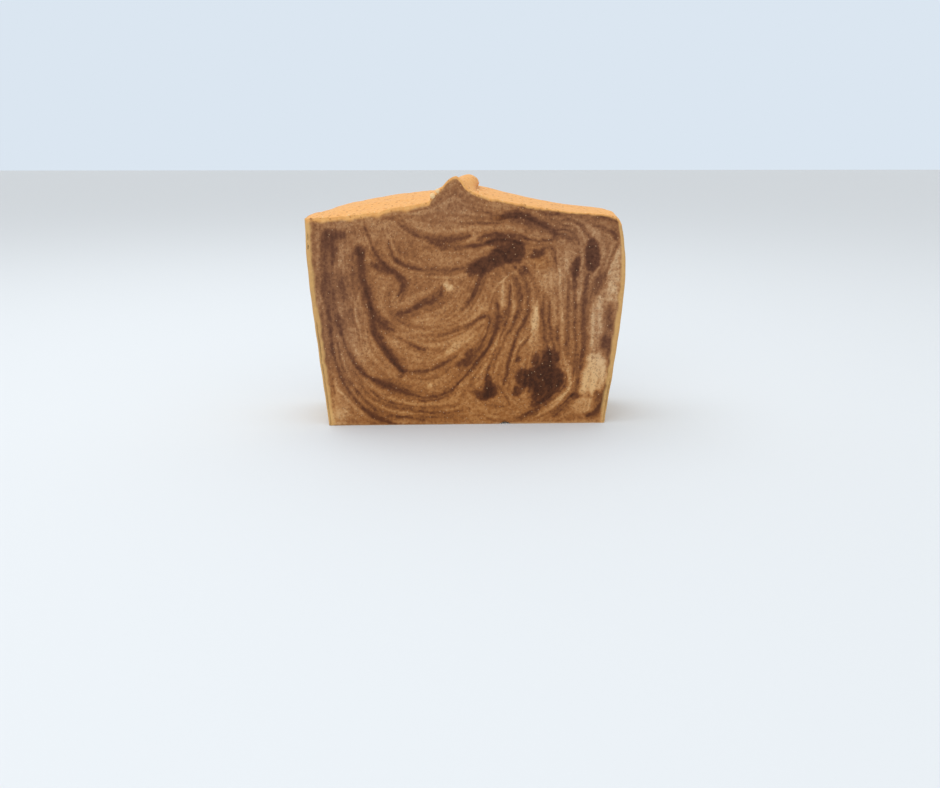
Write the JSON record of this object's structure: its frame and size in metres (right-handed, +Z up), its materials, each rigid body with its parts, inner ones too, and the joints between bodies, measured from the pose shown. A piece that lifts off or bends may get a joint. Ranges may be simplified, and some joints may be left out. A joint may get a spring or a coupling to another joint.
{
  "type": "bar of soap",
  "caption": "Hand-cut bar of swirled soap with a flat foot, two leaning flanks and a peaked, spooned top.",
  "frame": {"origin": "middle of the flat foot, under the centre of the bar's own box", "axes": "+X to the right along the width, +Y from the front cut to the back cut, +Z up from the foot to the peak"},
  "size_m": [0.0844, 0.0254, 0.0669],
  "materials": {
    "soap": "cut and cured soap, matt, marbled in tan, brown and dark brown, with a paler orange-tan skin on top"
  },
  "bodies": {
    "root": {"soap_bar": "soap"}
  },
  "joints": []
}
